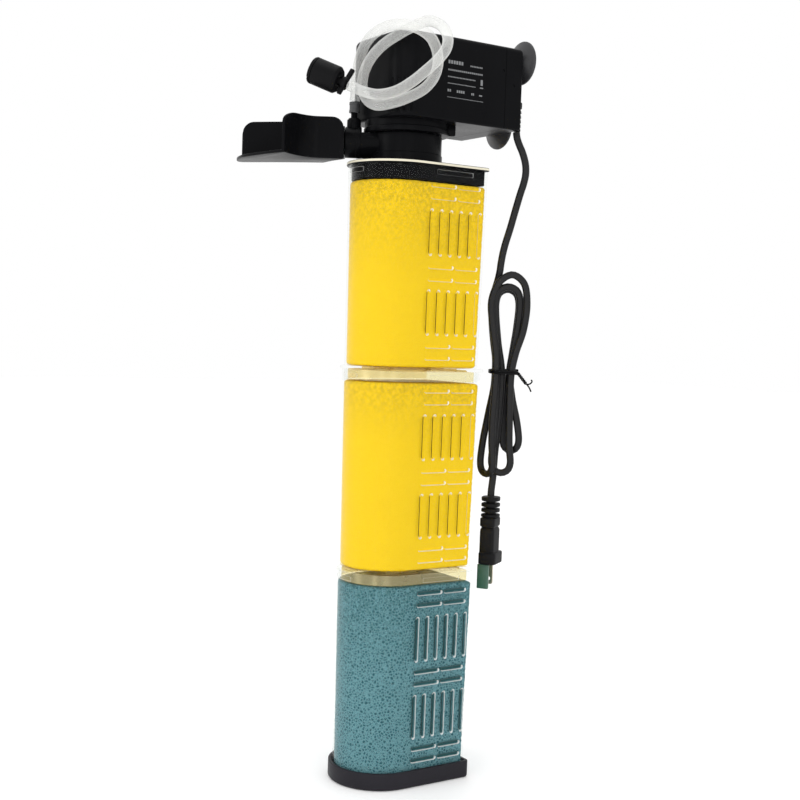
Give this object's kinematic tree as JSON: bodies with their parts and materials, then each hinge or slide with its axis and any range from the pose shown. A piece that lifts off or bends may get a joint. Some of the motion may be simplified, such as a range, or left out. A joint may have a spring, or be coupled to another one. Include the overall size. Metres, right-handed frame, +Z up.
{
  "type": "internal power filter",
  "caption": "Internal aquarium power filter with stacked clear foam cups, a motor head, an outlet deflector, an air hose and a mains lead.",
  "frame": {"origin": "centre of the base cap's underside, on the line of the case's nose and back", "axes": "+Z up the stack of cups; -Y towards the rounded nose and the outlet side; +Y towards the flat back and the suction cups"},
  "size_m": [0.1479, 0.1869, 0.5125],
  "materials": {
    "black_plastic": "moulded ABS with a fine satin grain",
    "charcoal_plastic": "moulded, satin",
    "clear_plastic": "clear moulded styrene, glossy",
    "teal_foam": "coarse open-cell filter foam",
    "yellow_foam": "open-cell filter foam",
    "black_rubber": "soft PVC and rubber, satin",
    "clear_silicone": "translucent soft hose, glossy",
    "grey_plastic": "moulded, satin",
    "white_plastic": "moulded acetal",
    "green_plastic": "soft protective sleeve",
    "core_steel": "laminated, lacquered",
    "copper_winding": "enamelled copper wire under tape",
    "blade_brass": "nickel-washed brass",
    "ferrite": "sintered magnet",
    "shaft_ceramic": "ground ceramic",
    "potting_resin": "cast epoxy",
    "grey_foam": "fine open-cell foam"
  },
  "bodies": {
    "base": {"base_cap": "charcoal_plastic"},
    "lower_cup_body": {"lower_cup": "clear_plastic", "lower_sponge": "teal_foam"},
    "middle_cup_body": {"middle_cup": "clear_plastic", "middle_sponge": "yellow_foam"},
    "upper_cup_body": {"upper_cup": "clear_plastic", "upper_sponge": "yellow_foam"},
    "lid": {"case_lid": "black_plastic", "neck_seal": "black_rubber"},
    "pump_head": {"volute_housing": "black_plastic", "volute_seal": "black_rubber", "impeller_cover": "black_plastic", "shaft_bush_lower": "black_rubber", "rotor_shaft": "shaft_ceramic", "shaft_bush_upper": "black_rubber", "rotor_well": "grey_plastic", "stator_core": "core_steel", "stator_coil_left": "copper_winding", "stator_coil_right": "copper_winding", "motor_housing": "black_plastic", "resin_seal": "potting_resin", "rear_cover": "black_plastic", "suction_cup_left": "black_rubber", "suction_cup_right": "black_rubber", "suction_cup_bottom": "black_rubber", "hose_nut": "grey_plastic", "air_hose": "clear_silicone", "silencer_body": "black_plastic", "silencer_cap": "black_plastic", "silencer_foam": "grey_foam", "silencer_nipple": "black_plastic", "cord_gland": "black_rubber", "power_cord_drop": "black_rubber", "cord_hank": "black_rubber", "cord_tie": "black_plastic", "power_cord_tail": "black_rubber", "plug_strain_relief": "black_rubber", "plug_body": "black_rubber", "plug_blade_near": "blade_brass", "plug_blade_far": "blade_brass", "blade_sleeve": "green_plastic"},
    "rotor": {"rotor_magnet": "ferrite", "impeller": "white_plastic"},
    "outlet_deflector": {"deflector": "black_plastic"},
    "air_valve": {"air_valve_wing": "black_plastic"}
  },
  "joints": [
    {"name": "lower_cup_pull", "type": "slide", "parent": "base", "child": "lower_cup_body", "axis": [0, 0, 1], "range_m": [0, 0.02]},
    {"name": "middle_cup_pull", "type": "slide", "parent": "lower_cup_body", "child": "middle_cup_body", "axis": [0, 0, 1], "range_m": [0, 0.02]},
    {"name": "upper_cup_pull", "type": "slide", "parent": "middle_cup_body", "child": "upper_cup_body", "axis": [0, 0, 1], "range_m": [0, 0.02]},
    {"name": "lid_lift", "type": "slide", "parent": "upper_cup_body", "child": "lid", "axis": [0, 0, 1], "range_m": [0, 0.02]},
    {"name": "head_twist", "type": "hinge", "parent": "lid", "child": "pump_head", "pos_m": [0, -0.003, 0.4216], "axis": [0, 0, 1], "range_deg": [0, 30]},
    {"name": "impeller_spin", "type": "hinge", "parent": "pump_head", "child": "rotor", "pos_m": [0, -0.003, 0.46], "axis": [0, 0, 1], "continuous": true},
    {"name": "deflector_turn", "type": "hinge", "parent": "pump_head", "child": "outlet_deflector", "pos_m": [-0.01734, -0.04115, 0.4347], "axis": [-0.5501, -0.8351, 0], "range_deg": [-30, 30]},
    {"name": "air_valve_turn", "type": "hinge", "parent": "pump_head", "child": "air_valve", "pos_m": [0.00719, -0.057, 0.46866], "axis": [0.6854, 0.6204, -0.3812], "range_deg": [0, 90]}
  ]
}
